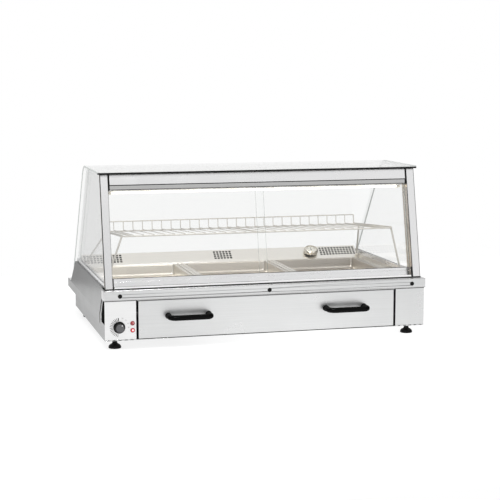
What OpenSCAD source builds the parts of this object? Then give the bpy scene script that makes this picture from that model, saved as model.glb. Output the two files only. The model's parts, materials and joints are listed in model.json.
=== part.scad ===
// Counter-top hot food display case: a steel base with a pull-out drawer,
// three food pans in a heated deck, a sloping glass cabinet with sliding doors
// on the operator's side, a wire shelf and a lamp.
// Lengths are in millimetres.  X runs along the counter, Y from the operator to
// the customer, Z up.  The origin is on the counter, under the middle of the
// whole outline.  Inside the modules Y counts from the front face of the base.

/* [Base] */
// Width of the base over its side walls
base_w = 1100; // [1090:1:1110]
// Depth of the base from its front face to its rear panel
base_d = 690; // [670:1:700]
// Clear height under the base
foot_h = 34; // [30:1:36]
// Height of the top of the base walls
base_top = 166; // [164:1:168]
// Thickness of the folded sheet
sheet = 1.5; // [1:0.1:1.6]
// Width over the skirt lips
skirt_w = 1120; // [1116:1:1130]
// Rearmost point of the rear ledge
ledge_y = 820; // [800:1:840]

/* [Front rail and frame] */
// Height of the top of the front rail
rail_top = 197; // [196:1:198]
// Backward lean of the operator's front, from vertical
lean = 12.5; // [11:0.1:13]
// Width over the two uprights
frame_w = 1089; // [1085:1:1090]
// Width of the face of an upright
upright_w = 26; // [22:1:28]
// Depth of an upright
upright_d = 50; // [46:1:52]
// Overlap of the two closed doors
door_overlap = 24; // [16:1:40]
// Travel of each door
door_travel = 500; // [300:10:500]

/* [Glass] */
// Height of the top surface of the bent glass
glass_top = 574; // [570:1:590]
// Width of the bent glass
glass_w = 1104; // [1100:1:1114]
// Thickness of the bent glass
glass_t = 6; // [5:0.5:8]
// Outer radius of the bend
bend_r = 70; // [60:1:90]
// Slope of the rear glass, from vertical
rear_slope = 35.8; // [34:0.1:36]
// Where the top surface and the rear slope would meet, from the front face
corner_y = 423.4; // [420:0.1:430]
// Thickness of the side and door glass
pane_t = 5; // [4:0.5:5]

/* [Pans] */
// Width of a food pan over its rim
pan_w = 325; // [320:1:326]
// Length of a food pan over its rim
pan_l = 530; // [520:1:530]
// Depth of a food pan
pan_depth = 40; // [20:1:45]
// Distance between the middles of two pans
pan_pitch = 348; // [347:1:350]

/* [Shelf] */
// Width of the wire shelf
shelf_w = 945; // [910:5:945]
// Depth of the wire shelf along its slope
shelf_d = 395; // [360:1:400]
// Height of the front edge of the shelf
shelf_z = 360; // [352:1:362]
// Number of floor wires
shelf_wires = 28; // [15:1:33]
// Height of the fence at the rear of the shelf
fence_h = 31; // [20:1:35]

/* [Drawer] */
// Width of the drawer front
drawer_w = 879; // [874:1:881]
// Height of the drawer front
drawer_h = 123; // [121:1:125]
// Length of the drawer tray
tray_l = 545; // [450:5:560]
// Depth of the drawer tray
tray_h = 60; // [40:1:65]
// Middle of the left handle along the drawer
handle_left_x = -274; // [-320:1:-200]
// Middle of the right handle along the drawer
handle_right_x = 265; // [200:1:320]
// Distance between the feet of a handle
handle_pitch = 135; // [120:1:150]

/* [Controls] */
// Diameter of the thermostat knob
knob_d = 39; // [34:1:42]
// Height of the knob's middle
knob_z = 78; // [76:1:82]
// Diameter of the thermometer
dial_d = 55; // [40:1:56]

/* [Hidden] */
$fn = 64;

steel = [0.76, 0.77, 0.77];
bright = [0.90, 0.90, 0.90];
alloy = [0.82, 0.83, 0.84];
clear = [0.85, 0.93, 0.92, 0.35];
black = [0.05, 0.05, 0.05];
cream = [0.95, 0.94, 0.88];

// The handles reach this far in front of the base
reach = 58;
// The origin is midway between the handles and the rear ledge
mid_y = (ledge_y - reach) / 2;

half_w = base_w / 2;
fascia_in = 447;
inner_wall_x = 538;
step_z = 88;
fascia_z = foot_h + 4;
cheek_x = 430;
heater_z = 120;
deck_z = 186;
deck_front = 76;
deck_back = 611;
upstand_x = 530;
flange_z = 200;
flange_x = 546;
channel_top = 214;
channel_in = 543;
deck_end = base_d - 10;
panel_top = 184;
lip_z = 119;
lip_low = 89;
apron_top = 222;
skirt_front = 44;
skirt_top_x = 549;
rail_front = -5;
rail_half = 553;
rail_deep = 42;

foot_x = 509;
foot_ys = [56, 634];
stem_r = 5;
fit = 0.05;

lean_y = 22;
bend_y = corner_y - bend_r * (1 - sin(rear_slope)) / cos(rear_slope);
bend_z = glass_top - bend_r;
inner_r = bend_r - glass_t;
frame_in = frame_w / 2 - upright_w;
frame_top = glass_top - glass_t - 2.6;
web_t = 3;
face_t = 8;
seal_d = 12;
end_seal_w = 6;
side_pane_x = 535.5;
side_pane_low = 204;
glass_low = 122;
trim_y = 92;
trim_low = glass_top - glass_t - 2.5;
header_low = 514;
header_step = 531;
door_z = 8.5;
door_rail_h = 28.5;
pane_top = 346;
door_gap = 1;
rail_t = 12;
left_rail_y = 10;
right_rail_y = 24;
rail_gap = 1.3;

vent_tilt = 36;
vent_l = 68;
vent_hole = 8;
vent_pitch = [12, 11];
vent_rows = 4;
vent_first_row = 24;
vent_block_x = 387;
vent_block_columns = 12;
vent_middle_columns = 6;
stem_hole_y = 32.6;
dial_x = 345;
dial_y = 634.8;
dial_z = 210.9;
dial_tilt = 24;
dial_h = 15;
dial_recess = 6;

shelf_y = 136;
shelf_tilt = 4.4;
shelf_x = 7.5;
wire_r = 1.5;
frame_r = 2.5;
leg_r = 3.5;
tip_r = 4;
tip_x = 524;
bar_z = -wire_r - frame_r;
pan_front = 79;
pan_mid_y = pan_front + pan_l / 2;
pan_corner_r = 12;
rear_screw_xs = [-500, 0, 500];
rear_screw_zs = [50, 160];
plug_xs = [-500, 0, 504];
plug_z = 180;
gland_x = 480;
gland_z = 70;
gland_bore_r = 4.2;

drawer_z = foot_h + 4;
tray_z = 45;
tray_half = 415;
drawer_deep = 15;
runner_mid_z = 80;
knob_x = -503;
pilot_x = -459.5;
pilot_zs = [90, 67];
handle_z = 109;
handle_r = 9;

lamp_y = 61;
lamp_z = 329;
lamp_r = 8;
lamp_half = 500;

// Moves a part from the base's front face to the shared origin
module placed() {
    translate([0, -mid_y, 0]) children();
}

// Both sides of the case
module both_sides() {
    children();
    mirror([1, 0, 0]) children();
}

// Extrudes an outline drawn in Y and Z from x0 to x1
module along_x(x0, x1) {
    translate([x0, 0, 0]) rotate([90, 0, 90]) linear_extrude(x1 - x0) children();
}

// Extrudes an outline drawn in X and Z from y0 to y1
module along_y(y0, y1) {
    translate([0, y1, 0]) rotate([90, 0, 0]) linear_extrude(y1 - y0) children();
}

// A box given by two corners
module block(low, high) {
    translate(low) cube(high - low);
}

// A straight round rod between two points
module rod(a, b, r) {
    d = b - a;
    translate(a) rotate([0, acos(d.z / norm(d)), atan2(d.y, d.x)]) cylinder(h = norm(d), r = r);
}

// A round hole or pin along Y
module y_pin(x, z, y0, y1, r) {
    translate([x, y0, z]) rotate([-90, 0, 0]) cylinder(h = y1 - y0, r = r);
}

// The leaning plane of the operator's front: its z runs up the slope
module leaning() {
    translate([0, lean_y, rail_top]) rotate([-lean, 0, 0]) children();
}

// Cuts a leaning part level at its foot and its head
module level_cut(low, high) {
    intersection() {
        children();
        block([-half_w, -100, low], [half_w, 400, high]);
    }
}

// A rectangle with round corners
module round_rect(w, d, r) {
    square([w, d - 2 * r], center = true);
    square([w - 2 * r, d], center = true);
    for (x = [-1, 1], y = [-1, 1])
        translate([x * (w / 2 - r), y * (d / 2 - r)]) circle(r = r);
}

// Where the rear slope touches its bend at radius r
function touch(r) = [bend_y + r * cos(rear_slope), bend_z + r * sin(rear_slope)];

// Where the rear slope at radius r of the bend passes height z
function slope_y(r, z) = touch(r).x + (touch(r).y - z) * tan(rear_slope);

// The space under the bent glass in Y and Z, at radius r of its bend:
// a flat top, a round bend and a straight rear slope down to z_low
module glass_outline(r, front_low, front_top, z_low) {
    polygon([
        [front_low, z_low], [front_top, bend_z + r], [bend_y, bend_z + r],
        [bend_y, bend_z], touch(r), [slope_y(r, z_low), z_low]
    ]);
    translate([bend_y, bend_z]) circle(r = r, $fn = 96);
}

// ---- Base ----

module base_wall() {
    block([half_w - sheet, sheet, foot_h], [half_w, base_d, step_z]);
    block([inner_wall_x, sheet, step_z - sheet], [half_w, base_d, step_z]);
    out_x = inner_wall_x + sheet;
    low = step_z - sheet;
    block([inner_wall_x, sheet, low], [out_x, deck_front, rail_top - sheet]);
    block([inner_wall_x, deck_front, low], [out_x, deck_end, flange_z - sheet]);
    block([inner_wall_x, deck_end, low], [out_x, base_d, panel_top]);
}

// The lip under a side fascia, with its row of slots
module base_lip() {
    difference() {
        block([fascia_in, 0, foot_h], [half_w, sheet, fascia_z]);
        for (x = [fascia_in + 10:19:half_w - 15]) block([x, -1, foot_h + 1], [x + 10, 2, foot_h + 3]);
    }
}

module base_box() {
    color(steel) placed() difference() {
        union() {
            block([-half_w, sheet, foot_h], [half_w, base_d - sheet, foot_h + sheet]);
            both_sides() {
                base_wall();
                base_lip();
            }
        }
        for (x = [-foot_x, foot_x], y = foot_ys)
            translate([x, y, foot_h - 1]) cylinder(h = 4, r = stem_r + 1);
    }
}

module base_rear_panel() {
    color(steel) placed() difference() {
        union() {
            block([-inner_wall_x, base_d - sheet, foot_h + sheet], [inner_wall_x, base_d, panel_top]);
            both_sides() block([inner_wall_x, base_d - sheet, foot_h + sheet],
                [half_w - sheet, base_d, step_z - sheet]);
        }
        y_pin(gland_x, gland_z, base_d - 5, base_d + 5, 8.2);
        for (x = rear_screw_xs, z = rear_screw_zs) y_pin(x, z, base_d - 5, base_d + 5, 2.1);
        for (x = [-300:60:300], z = [130, 142])
            block([x - 20, base_d - 5, z], [x + 20, base_d + 5, z + 4]);
    }
}

module rear_screws() {
    color(bright) placed() for (x = rear_screw_xs, z = rear_screw_zs) {
        y_pin(x, z, base_d - sheet, base_d, 2);
        y_pin(x, z, base_d, base_d + 2.4, 4);
    }
}

module drawer_cheeks() {
    color(steel) placed() both_sides()
        block([cheek_x, 20, foot_h + sheet], [cheek_x + sheet, base_d - 10, heater_z]);
}

// A front fascia with folded edges
module fascia() {
    block([fascia_in, 0, fascia_z], [half_w, sheet, base_top]);
    block([fascia_in, sheet, fascia_z], [fascia_in + sheet, 20, base_top - 1]);
}

module control_panel() {
    color(bright) placed() difference() {
        mirror([1, 0, 0]) fascia();
        y_pin(knob_x, knob_z, -1, 5, 5);
        for (z = pilot_zs) y_pin(pilot_x, z, -1, 5, 6);
    }
}

module right_fascia() {
    color(steel) placed() fascia();
}

module front_rail() {
    color(steel) placed() difference() {
        union() {
            along_x(-rail_half, rail_half) difference() {
                translate([rail_front, base_top]) square([rail_deep - rail_front, rail_top - base_top]);
                translate([rail_front + sheet, base_top + sheet])
                    square([rail_deep + 20, rail_top - base_top - 2 * sheet]);
                translate([sheet, base_top - 1]) square([rail_deep, 5]);
            }
            both_sides()
                block([rail_half - sheet, rail_front, base_top], [rail_half, rail_deep, rail_top]);
            block([-frame_w / 2, rail_deep, rail_top - sheet], [frame_w / 2, deck_front, rail_top]);
            block([-inner_wall_x, deck_front - sheet, deck_z - sheet],
                [inner_wall_x, deck_front, rail_top]);
        }
        for (x = plug_xs) y_pin(x, plug_z, rail_front - 1, rail_front + 3, 5);
    }
}

module cap_plugs() {
    color(black) placed() for (x = plug_xs) {
        y_pin(x, plug_z, rail_front - 2, rail_front, 7);
        y_pin(x, plug_z, rail_front, rail_front + 4, 4.95);
    }
}

// The folded skirt of one side: flange, sloping panel and upright lip
module side_skirt() {
    out_x = skirt_w / 2;
    difference() {
        union() {
            along_y(skirt_front, ledge_y - 1.6) polygon([
                [skirt_top_x, flange_z + sheet], [out_x, lip_z], [out_x, lip_low],
                [out_x - sheet, lip_low], [out_x - sheet, lip_z], [skirt_top_x - sheet, flange_z]
            ]);
            block([channel_in + 0.5, deck_front, flange_z], [skirt_top_x, ledge_y, flange_z + sheet]);
        }
        difference() {
            block([500, 300, lip_z], [600, ledge_y + 1, 240]);
            along_x(490, 610) glass_outline(inner_r - 1, 0, 0, lip_z - 10);
        }
    }
}

module side_skirt_right() {
    color(steel) placed() side_skirt();
}

module side_skirt_left() {
    color(steel) placed() mirror([1, 0, 0]) side_skirt();
}

// The ledge behind the bent glass, with the apron that backs the glass's foot
module rear_ledge() {
    in_x = skirt_w / 2 - sheet - fit;
    color(steel) placed() {
        block([-in_x, base_d, lip_z - sheet], [in_x, ledge_y, lip_z]);
        block([-skirt_w / 2, ledge_y - sheet, lip_low], [skirt_w / 2, ledge_y, lip_z]);
        along_x(-upstand_x, upstand_x) intersection() {
            difference() {
                glass_outline(inner_r - 1, 0, 0, lip_z - 10);
                glass_outline(inner_r - 1 - sheet, 0, 0, lip_z - 20);
            }
            translate([deck_back, lip_z - sheet])
                square([ledge_y - deck_back, apron_top - lip_z + sheet]);
        }
    }
}

// ---- Deck and heating ----

module deck() {
    color(cream) placed() {
        difference() {
            block([-upstand_x, deck_front, deck_z - sheet], [upstand_x, deck_back, deck_z]);
            for (i = [-1:1]) translate([i * pan_pitch, pan_mid_y, deck_z - 5])
                linear_extrude(10) round_rect(pan_w - 13, pan_l - 13, 14);
        }
        both_sides() {
            block([upstand_x, deck_front, deck_z - sheet], [upstand_x + sheet, deck_end, flange_z]);
            block([upstand_x, deck_front, flange_z - sheet], [flange_x, deck_end, flange_z]);
        }
    }
}

// The bar between two pans: two ridges with a groove
module well_dividers() {
    color(bright) placed() both_sides() along_y(pan_front, pan_front + pan_l)
        translate([pan_pitch / 2, deck_z]) difference() {
            translate([-10.5, 0]) square([21, 4]);
            translate([-4.5, 1.5]) square([9, 5]);
        }
}

module food_pan(i) {
    wall = 1.2;
    color(bright) placed() translate([i * pan_pitch, pan_mid_y, deck_z]) difference() {
        union() {
            linear_extrude(2) round_rect(pan_w, pan_l, 10);
            translate([0, 0, -pan_depth + 1]) linear_extrude(pan_depth)
                round_rect(pan_w - 20, pan_l - 20, pan_corner_r);
        }
        translate([0, 0, -pan_depth + 1 + wall]) linear_extrude(pan_depth + 5)
            round_rect(pan_w - 20 - 2 * wall, pan_l - 20 - 2 * wall, pan_corner_r - wall);
    }
}

module pan_left() {
    food_pan(-1);
}

module pan_middle() {
    food_pan(0);
}

module pan_right() {
    food_pan(1);
}

// Applies the frame of the sloping vent panel: y runs up the slope
module on_vent() {
    translate([0, deck_back, deck_z]) rotate([vent_tilt, 0, 0]) children();
}

// A block of square holes whose first column is at x
module vent_holes(x, columns) {
    for (i = [0:columns - 1], j = [0:vent_rows - 1])
        translate([x + i * vent_pitch.x, vent_first_row + j * vent_pitch.y, 0])
            cube([vent_hole, vent_hole, 9], center = true);
}

module vent_panel() {
    color(cream) placed() on_vent() difference() {
        block([-upstand_x + 0.5, 0, -sheet], [upstand_x - 0.5, vent_l, 0]);
        vent_holes(-(vent_middle_columns - 1) / 2 * vent_pitch.x, vent_middle_columns);
        both_sides() vent_holes(vent_block_x, vent_block_columns);
        translate([dial_x, stem_hole_y, -5]) cylinder(h = 10, r = 6);
    }
}

module heater_tray() {
    color(steel) placed() {
        block([-inner_wall_x, 20, heater_z], [inner_wall_x, base_d - 4, heater_z + sheet]);
        for (i = [-1:1], x = [-110, 110], y = [150, 540]) translate([i * pan_pitch + x, y, heater_z])
            block([-12, -5, sheet], [12, 5, 6]);
    }
}

// One tubular heater: four long runs joined by half-round bends
module heater_loop() {
    r = 4;
    gap = 60;
    run = 380;
    for (k = [0:3]) translate([(k - 1.5) * gap, 0, 0]) rotate([-90, 0, 0]) cylinder(h = run, r = r);
    for (k = [0:2]) translate([(k - 1) * gap, k % 2 == 0 ? run : 0, 0])
        rotate([0, 0, k % 2 == 0 ? 0 : 180])
            rotate_extrude(angle = 180) translate([gap / 2, 0]) circle(r = r);
}

module heating_elements() {
    color([0.35, 0.33, 0.32]) placed() for (i = [-1:1])
        translate([i * pan_pitch, 155, heater_z + 10]) heater_loop();
}

// ---- Controls ----

module thermostat() {
    color(black) placed() difference() {
        union() {
            block([knob_x - 16, sheet, knob_z - 16], [knob_x + 16, 3, knob_z + 16]);
            block([knob_x - 20, 3, knob_z - 20], [knob_x + 20, 42, knob_z + 20]);
        }
        y_pin(knob_x, knob_z, 0, 24, 3 + fit);
    }
}

// The knob with its spindle and raised pointer
module knob() {
    color(black) placed() {
        y_pin(knob_x, knob_z, -5, -2, knob_d / 2);
        y_pin(knob_x, knob_z, -20, -5, knob_d / 2 - 4.5);
        y_pin(knob_x, knob_z, -3, 20, 3);
        block([knob_x - 1, -21, knob_z + 2], [knob_x + 1, -19, knob_z + knob_d / 2 - 5.5]);
    }
}

module pilot_bodies() {
    color(black) placed() for (z = pilot_zs) {
        difference() {
            y_pin(pilot_x, z, -2.5, 0, 7.5);
            y_pin(pilot_x, z, -3, -0.8, 6.4);
        }
        y_pin(pilot_x, z, 0, 24, 5.9);
    }
}

module pilot_lenses() {
    color([0.75, 0.05, 0.08]) placed() for (z = pilot_zs) {
        y_pin(pilot_x, z, -3, -0.8, 6.2);
        translate([pilot_x, -3, z]) intersection() {
            translate([0, 4.2, 0]) sphere(r = 7.5);
            rotate([90, 0, 0]) cylinder(h = 5, r = 6.2);
        }
    }
}

// The gland that the supply cable would pass through
module cable_gland() {
    color(black) placed() difference() {
        union() {
            y_pin(gland_x, gland_z, base_d - 14, base_d, 8);
            y_pin(gland_x, gland_z, base_d - 8, base_d - sheet, 11);
            y_pin(gland_x, gland_z, base_d, base_d + 6, 12);
            y_pin(gland_x, gland_z, base_d + 6, base_d + 18, 9.5);
        }
        y_pin(gland_x, gland_z, base_d - 20, base_d + 25, gland_bore_r);
    }
}

// Applies the frame of the thermometer: z runs up the axis of its case
module on_dial() {
    translate([dial_x, dial_y, dial_z]) rotate([dial_tilt, 0, 0]) children();
}

// A round case on a stem that passes through the vent panel
module thermometer_case() {
    color(bright) placed() on_dial() difference() {
        union() {
            cylinder(h = dial_h, r = dial_d / 2);
            translate([0, 0, -14]) cylinder(h = 15, r = 4.5);
        }
        translate([0, 0, dial_h - dial_recess]) cylinder(h = dial_h, r = dial_d / 2 - 2.5);
    }
}

module thermometer_dial() {
    color("white") placed() on_dial() translate([0, 0, dial_h - dial_recess])
        cylinder(h = 1, r = dial_d / 2 - 2.7);
}

module thermometer_needle() {
    color(black) placed() on_dial() translate([0, 0, dial_h - dial_recess + 1.5]) {
        cylinder(h = 1.5, r = 2.2);
        block([-0.7, 0, 0.3], [0.7, dial_d / 2 - 7, 1.1]);
    }
}

module thermometer_lens() {
    color(clear) placed() on_dial() translate([0, 0, dial_h - 2.5])
        cylinder(h = 1.5, r = dial_d / 2 - 2.55);
}

// ---- Leaning front frame ----

// An angle section: a face to the operator and a web along the doors
module upright() {
    leaning() {
        block([frame_in, 0, -30], [frame_w / 2, face_t, 400]);
        block([frame_in, 0, -30], [frame_in + web_t, upright_d, 400]);
    }
}

module upright_right() {
    color(alloy) placed() level_cut(rail_top + sheet, frame_top) upright();
}

module upright_left() {
    color(alloy) placed() mirror([1, 0, 0]) level_cut(rail_top + sheet, frame_top) upright();
}

// Height above the rail, turned into distance up the leaning front
function up_slope(z) = (z - rail_top) / cos(lean);

module header_track() {
    low = up_slope(header_low);
    half = frame_in - end_seal_w - 0.1;
    color(alloy) placed() level_cut(rail_top, frame_top) leaning() difference() {
        block([-half, 0, low], [half, 46, 400]);
        block([-half - 1, -1, low - 1], [half + 1, 4, up_slope(header_step)]);
        block([-half - 1, left_rail_y + 2, low - 1], [half + 1, left_rail_y + 10, pane_top + 8]);
        block([-half - 1, right_rail_y + 2, low - 1], [half + 1, right_rail_y + 10, pane_top + 8]);
        block([-half - 1, 3, pane_top + 11], [half + 1, 43, pane_top + 28]);
    }
}

// Three leaning fins on a level plate: the doors run between them
module sill_track() {
    half = frame_in - end_seal_w - 0.1;
    color(alloy) placed() along_x(-half, half) translate([lean_y, rail_top]) intersection() {
        union() {
            rotate(-lean) {
                translate([2, -20]) square([left_rail_y - 3, 29]);
                translate([left_rail_y + rail_t + 0.6, -20]) square([0.8, 29]);
                translate([right_rail_y + rail_t + 1, -20]) square([5, 34]);
            }
            translate([3, 0]) square([39, 1]);
        }
        translate([-20, 0]) square([100, 40]);
    }
}

// Edges of a door along X: side is -1 for the left door, 1 for the right one
function door_outer(side) = side * (frame_in - door_gap);
function door_inner(side) = side == -1 ? door_overlap / 2 - 4 : -door_overlap / 2 - 4;
function door_low_x(side) = min(door_outer(side), door_inner(side));
function door_high_x(side) = max(door_outer(side), door_inner(side));

module door_glass(side, y) {
    color(clear) placed() leaning()
        block([door_low_x(side), y + 3.5, door_z + 3], [door_high_x(side), y + 3.5 + pane_t, pane_top]);
}

// A door's bottom rail, with the two gliders under it
module door_rail(side, y) {
    x0 = door_low_x(side);
    x1 = door_high_x(side);
    color(alloy) placed() level_cut(rail_top + rail_gap, frame_top) leaning() {
        difference() {
            block([x0, y, door_z], [x1, y + rail_t, door_z + door_rail_h]);
            block([x0 - 1, y + 3.5, door_z + 3], [x1 + 1, y + 3.5 + pane_t, 60]);
            block([x0 - 1, y - 1, door_z + 17], [x1 + 1, y + 0.8, door_z + 19.5]);
        }
        for (x = [x0 + 40, x1 - 70]) block([x, y + 2, 0], [x + 30, y + rail_t - 2, door_z]);
    }
}

module door_left_glass() {
    door_glass(-1, left_rail_y);
}

module door_left_rail() {
    door_rail(-1, left_rail_y);
}

module door_right_glass() {
    door_glass(1, right_rail_y);
}

module door_right_rail() {
    door_rail(1, right_rail_y);
}

// ---- Glass cabinet ----

module curved_glass() {
    color(clear) placed() along_x(-glass_w / 2, glass_w / 2) difference() {
        glass_outline(bend_r, trim_y + 2, trim_y + 2, glass_low);
        glass_outline(inner_r, -50, -50, 100);
    }
}

module side_glass(x) {
    front = lean_y + (face_t + seal_d + 0.2) / cos(lean);
    top = bend_z + inner_r - 0.5;
    low_y = front + (side_pane_low - rail_top) * tan(lean);
    top_y = front + (top - rail_top) * tan(lean);
    color(clear) placed() along_x(x, x + pane_t)
        glass_outline(inner_r - 0.5, low_y, top_y, side_pane_low);
}

module side_glass_right() {
    side_glass(side_pane_x);
}

module side_glass_left() {
    side_glass(-side_pane_x - pane_t);
}

module glass_channels() {
    color(alloy) placed() both_sides() intersection() {
        difference() {
            block([upstand_x + sheet, 47, flange_z], [channel_in, base_d, channel_top]);
            block([side_pane_x - 0.3, 0, side_pane_low],
                [side_pane_x + pane_t + 0.3, base_d + 10, channel_top + 1]);
        }
        along_x(500, 600) glass_outline(inner_r - 1, 0, 0, 100);
    }
}

// The seal under the front edge of the bent glass
module top_edge_trim() {
    low = glass_top - glass_t;
    color(black) placed() {
        block([-glass_w / 2, trim_y, trim_low], [glass_w / 2, trim_y + 2, low + 3]);
        block([-glass_w / 2, trim_y + 2, trim_low], [glass_w / 2, trim_y + 11, low]);
    }
}

module frame_seals() {
    color(black) placed() {
        both_sides() {
            level_cut(rail_top, frame_top) leaning()
                block([frame_in - end_seal_w, 0.5, up_slope(header_low)], [frame_in, face_t, 400]);
            level_cut(rail_top, 240) leaning()
                block([frame_in - end_seal_w + 2, 0.5, -10], [frame_in, face_t, door_z + door_rail_h]);
            level_cut(rail_top + sheet, frame_top) leaning()
                block([side_pane_x - 2, face_t, -10], [side_pane_x + pane_t + 2, face_t + seal_d, 400]);
            block([frame_in, 20, rail_top], [frame_w / 2, 76, rail_top + sheet]);
            block([inner_wall_x + sheet, skirt_front + 2, step_z + 4],
                [inner_wall_x + 13.5, skirt_front + 14, base_top - 2]);
        }
        block([-glass_w / 2, slope_y(inner_r, glass_low) + 1, lip_z],
            [glass_w / 2, slope_y(bend_r, glass_low) + 1, glass_low]);
    }
}

module lamp_housing() {
    color(bright) placed() leaning() difference() {
        block([-505, 46, lamp_z + 9], [505, 76, lamp_z + 33]);
        block([-503, 48, lamp_z + 8], [503, 74, lamp_z + 31]);
    }
}

module lamp_holders() {
    color(cream) placed() leaning() both_sides()
        block([lamp_half, lamp_y - 11, lamp_z - 10], [lamp_half + 12, lamp_y + 11, lamp_z + 9]);
}

module lamp_tube() {
    color("white") placed() leaning() translate([-lamp_half, lamp_y, lamp_z]) rotate([0, 90, 0])
        cylinder(h = 2 * lamp_half, r = lamp_r);
}

// ---- Drawer ----

module drawer_front() {
    color(steel) placed() difference() {
        block([-drawer_w / 2, 0, drawer_z], [drawer_w / 2, drawer_deep, drawer_z + drawer_h]);
        block([-drawer_w / 2 + sheet, sheet, drawer_z + sheet],
            [drawer_w / 2 - sheet, drawer_deep + 1, drawer_z + drawer_h - sheet]);
    }
}

module drawer_tray() {
    inner = drawer_w / 2 - sheet;
    color(steel) placed() {
        block([-inner, drawer_deep - sheet, drawer_z + sheet],
            [inner, drawer_deep, drawer_z + drawer_h - sheet]);
        difference() {
            block([-tray_half, drawer_deep, tray_z], [tray_half, drawer_deep + tray_l, tray_z + tray_h]);
            block([-tray_half + sheet, drawer_deep + sheet, tray_z + sheet],
                [tray_half - sheet, drawer_deep + tray_l - sheet, tray_z + tray_h + 1]);
        }
    }
}

// A bow handle: two feet, two quarter bends and a round bar
module bow_handle(x) {
    r = handle_r;
    bend = 18;
    half = handle_pitch / 2;
    bar_y = -reach + r;
    color(black) placed() translate([x, 0, handle_z]) {
        rotate([0, 90, 0]) translate([0, bar_y, -half + bend]) cylinder(h = 2 * (half - bend), r = r);
        both_sides() {
            translate([half - bend, bar_y + bend, 0]) rotate([0, 0, -90])
                rotate_extrude(angle = 90) translate([bend, 0]) circle(r = r);
            y_pin(half, 0, bar_y + bend, 0, r);
            y_pin(half, 0, -4, 0, r + 1.5);
        }
    }
}

module drawer_handle_left() {
    bow_handle(handle_left_x);
}

module drawer_handle_right() {
    bow_handle(handle_right_x);
}

module runner_inner() {
    t = 2;
    h = 27;
    low = runner_mid_z - h / 2;
    color(bright) placed() both_sides() along_y(drawer_deep + 5, drawer_deep + tray_l) {
        translate([tray_half, low]) square([t, h]);
        for (z = [low, low + h - t]) translate([tray_half, z]) square([12.5, t]);
    }
}

module runner_outer() {
    t = 1.8;
    h = 32;
    low = runner_mid_z - h / 2;
    color(bright) placed() both_sides() along_y(22, 590) {
        translate([cheek_x - sheet, low]) square([sheet, h]);
        for (z = [low, low + h - t]) translate([cheek_x - 9, z]) square([9, t]);
    }
}

// ---- Shelf ----

// Applies the frame of the sloping shelf: y runs back along its floor
module on_shelf() {
    translate([shelf_x, shelf_y, shelf_z]) rotate([-shelf_tilt, 0, 0]) children();
}

// The rods under the shelf's floor, at radius r
module frame_rods(r) {
    half = shelf_w / 2;
    on_shelf() {
        for (y = [0, shelf_d]) rod([-half, y, bar_z], [half, y, bar_z], r);
        for (x = [-half, half]) rod([x, 0, bar_z], [x, shelf_d, bar_z], r);
        for (x = [-half + 32, 0, half - 32]) rod([x, -5, bar_z], [x, shelf_d, bar_z], r);
    }
}

module shelf_frame() {
    color(cream) placed() frame_rods(frame_r);
}

function wire_x(i) = -shelf_w / 2 + i * shelf_w / (shelf_wires - 1);

module shelf_floor_wires() {
    color(cream) placed() on_shelf() for (i = [0:shelf_wires - 1])
        rod([wire_x(i), -2, 0], [wire_x(i), shelf_d - wire_r, 0], wire_r);
}

module shelf_fence() {
    color(cream) placed() on_shelf() {
        for (i = [0:shelf_wires - 1])
            rod([wire_x(i), shelf_d, -wire_r], [wire_x(i), shelf_d, fence_h], wire_r);
        rod([-shelf_w / 2 - wire_r, shelf_d, fence_h], [shelf_w / 2 + wire_r, shelf_d, fence_h], 2);
    }
}

// A straight leg with a round tip
module leg(top, tip) {
    rod(top, tip, leg_r);
    translate(tip) sphere(r = tip_r);
}

// The four splayed legs, cut to fit round the shelf's side rods
module shelf_legs() {
    half = shelf_w / 2 + 2;
    front_y = 150;
    rear_y = 618;
    front_z = deck_z + tip_r + 0.3;
    rear_z = deck_z + (rear_y - deck_back) * tan(vent_tilt) + (tip_r + 0.3) / cos(vent_tilt);
    color(cream) placed() difference() {
        for (side = [-1, 1]) {
            top_x = shelf_x + side * half;
            leg([top_x, shelf_y + 8, shelf_z - 6], [side * tip_x, front_y, front_z]);
            leg([top_x, shelf_y + 340, shelf_z - 31], [side * tip_x, rear_y, rear_z]);
        }
        frame_rods(frame_r + fit);
    }
}

// ---- Feet and runners ----

module foot_inserts() {
    color(bright) placed() for (x = [-foot_x, foot_x], y = foot_ys) difference() {
        translate([x, y, foot_h + sheet]) cylinder(h = 12, r = 9);
        translate([x, y, foot_h]) cylinder(h = 20, r = stem_r + fit);
    }
}

// One levelling foot: a cone pad on a screw stem
module foot(x, y) {
    color(black) placed() translate([x, y, 0]) {
        rotate_extrude()
            polygon([[0, 0], [20, 0], [21, 2], [21, 6], [17, 12], [10, 17], [8, 24], [0, 24]]);
        cylinder(h = 60, r = stem_r);
    }
}

module foot_front_left() {
    foot(-foot_x, foot_ys[0]);
}

module foot_front_right() {
    foot(foot_x, foot_ys[0]);
}

module foot_rear_left() {
    foot(-foot_x, foot_ys[1]);
}

module foot_rear_right() {
    foot(foot_x, foot_ys[1]);
}

base_box();
base_rear_panel();
drawer_cheeks();
control_panel();
right_fascia();
front_rail();
deck();
well_dividers();
side_skirt_left();
side_skirt_right();
rear_ledge();
vent_panel();
heater_tray();
heating_elements();
thermostat();
cable_gland();
pilot_lenses();
pilot_bodies();
cap_plugs();
foot_inserts();
rear_screws();
runner_outer();
upright_left();
upright_right();
header_track();
sill_track();
curved_glass();
side_glass_left();
side_glass_right();
glass_channels();
top_edge_trim();
frame_seals();
lamp_housing();
lamp_holders();
lamp_tube();
thermometer_case();
thermometer_dial();
thermometer_lens();
thermometer_needle();
knob();
pan_left();
pan_middle();
pan_right();
door_left_glass();
door_left_rail();
door_right_glass();
door_right_rail();
drawer_front();
drawer_tray();
drawer_handle_left();
drawer_handle_right();
runner_inner();
shelf_frame();
shelf_floor_wires();
shelf_fence();
shelf_legs();
foot_front_left();
foot_front_right();
foot_rear_left();
foot_rear_right();
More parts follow.
